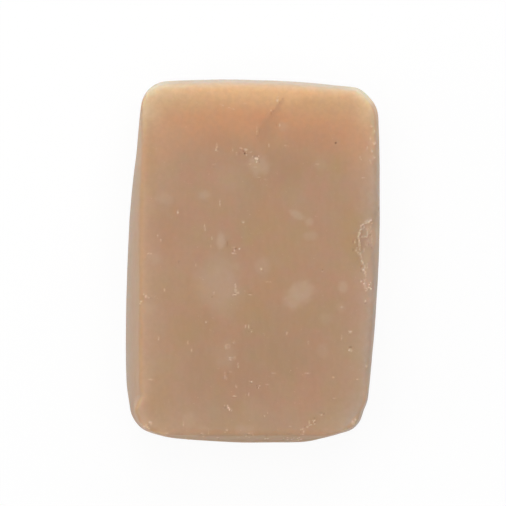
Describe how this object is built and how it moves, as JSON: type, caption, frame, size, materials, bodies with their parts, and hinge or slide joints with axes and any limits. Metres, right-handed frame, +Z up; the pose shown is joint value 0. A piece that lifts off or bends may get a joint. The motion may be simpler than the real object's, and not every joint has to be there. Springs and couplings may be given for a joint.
{
  "type": "bar of soap",
  "caption": "Used rounded rectangular bar of soap with bowed sides, a worn corner, a chipped rim and a flat face to rest on.",
  "frame": {"origin": "under the middle of the bar, on the flat back face that it lies on", "axes": "+X across the bar, +Y along it towards the far end, +Z up to the front face"},
  "size_m": [0.0595, 0.085, 0.025],
  "materials": {
    "soap": "satin, waxy and slightly translucent, paler at the rims"
  },
  "bodies": {
    "root": {"soap_bar": "soap"}
  },
  "joints": []
}
